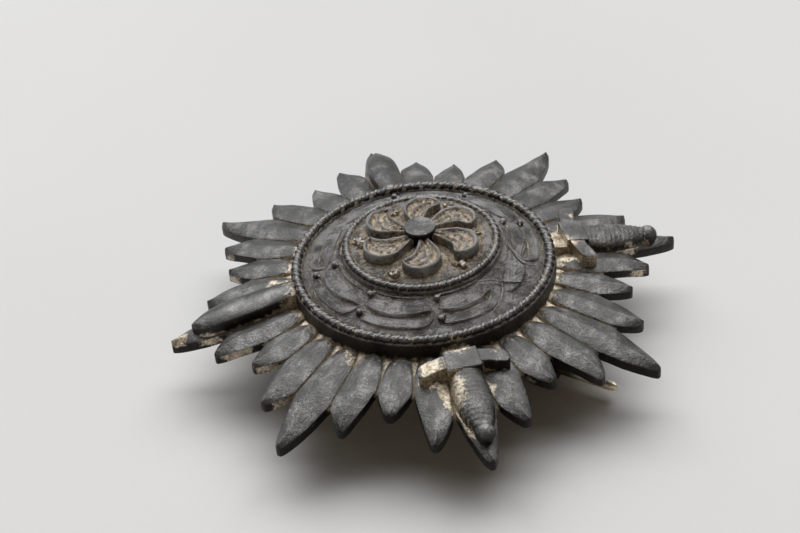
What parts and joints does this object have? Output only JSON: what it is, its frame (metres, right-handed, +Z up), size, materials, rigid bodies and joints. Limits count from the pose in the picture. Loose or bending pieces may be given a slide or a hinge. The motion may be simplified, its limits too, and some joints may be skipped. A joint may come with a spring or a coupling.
{
  "type": "award badge",
  "caption": "Pin-back award star with graded rays, crossed swords, a laurel wreath between roped rings and a swirling rosette, in worn gilt zinc.",
  "frame": {"origin": "centre of the star on the floor that it rests on, under the hinge block and the catch", "axes": "+Z up through the hub of the rosette, +Y to the top of the star as it is worn, +X to the right seen from the front"},
  "size_m": [0.05, 0.05, 0.0133],
  "materials": {
    "zinc": "oxidised dark grey zinc with remains of pale gilding",
    "brass": "pale, dull brass"
  },
  "bodies": {
    "root": {"star": "zinc", "pin": "brass"}
  },
  "joints": []
}
